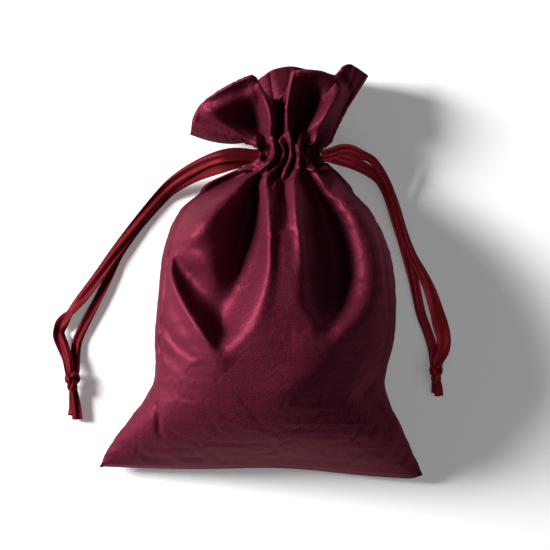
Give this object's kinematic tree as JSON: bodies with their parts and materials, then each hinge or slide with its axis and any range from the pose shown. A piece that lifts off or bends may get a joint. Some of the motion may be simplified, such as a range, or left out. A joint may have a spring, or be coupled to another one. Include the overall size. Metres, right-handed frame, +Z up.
{
  "type": "drawstring gift pouch",
  "caption": "Burgundy satin gift pouch lying filled on its back, its ruffled mouth drawn closed by knotted ribbon drawstrings that leave the casing at both sides.",
  "frame": {"origin": "on the surface the pouch lies on, under the middle of the pouch without its free ribbons", "axes": "+X across the pouch, to the right as seen from above with the ruffle away from the viewer; +Y from the bottom seam to the ruffle; +Z up, from the back panel to the front panel"},
  "size_m": [0.1219, 0.1269, 0.0458],
  "materials": {
    "satin": "polyester satin, right side, soft sheen",
    "satin_reverse": "polyester satin, dull reverse side",
    "ribbon": "narrow satin ribbon with woven edges",
    "thread": "twisted polyester sewing thread"
  },
  "bodies": {
    "pouch": {"front_panel": "satin", "back_panel": "satin", "left_side_seam_allowance": "satin_reverse", "right_side_seam_allowance": "satin_reverse", "bottom_seam_allowance": "satin_reverse", "back_casing": "satin", "back_casing_facing": "satin_reverse", "back_lower_casing_stitches": "thread", "back_upper_casing_stitches": "thread", "back_ruffle": "satin", "left_ribbon_in_back_casing": "ribbon", "right_ribbon_in_back_casing": "ribbon"},
    "front_mouth": {"front_casing": "satin", "front_casing_facing": "satin_reverse", "front_lower_casing_stitches": "thread", "front_upper_casing_stitches": "thread", "front_ruffle": "satin", "left_ribbon_in_front_casing": "ribbon", "right_ribbon_in_front_casing": "ribbon"},
    "left_tie": {"left_front_throat": "ribbon", "left_back_throat": "ribbon"},
    "left_ribbon": {"left_front_strand": "ribbon", "left_back_strand": "ribbon", "left_knot": "ribbon", "left_front_tail": "ribbon", "left_back_tail": "ribbon"},
    "right_tie": {"right_front_throat": "ribbon", "right_back_throat": "ribbon"},
    "right_ribbon": {"right_front_strand": "ribbon", "right_back_strand": "ribbon", "right_knot": "ribbon", "right_front_tail": "ribbon", "right_back_tail": "ribbon"}
  },
  "joints": [
    {"name": "mouth_open", "type": "slide", "parent": "pouch", "child": "front_mouth", "axis": [0, 0, 1], "range_m": [0, 0.008]},
    {"name": "left_draw", "type": "slide", "parent": "pouch", "child": "left_tie", "axis": [1, 0, 0], "range_m": [0, 0.008]},
    {"name": "right_draw", "type": "slide", "parent": "pouch", "child": "right_tie", "axis": [-1, 0, 0], "range_m": [0, 0.008]},
    {"name": "left_swing", "type": "hinge", "parent": "left_tie", "child": "left_ribbon", "pos_m": [-0.0049, 0.036, 0.0138], "axis": [0, 0, -1], "range_deg": [-3, 12]},
    {"name": "right_swing", "type": "hinge", "parent": "right_tie", "child": "right_ribbon", "pos_m": [0.0219, 0.036, 0.0138], "axis": [0, 0, 1], "range_deg": [-3, 20]}
  ],
  "couplings": [
    {"joint": "left_draw", "follows": "mouth_open", "ratio": 1},
    {"joint": "right_draw", "follows": "mouth_open", "ratio": 1}
  ]
}
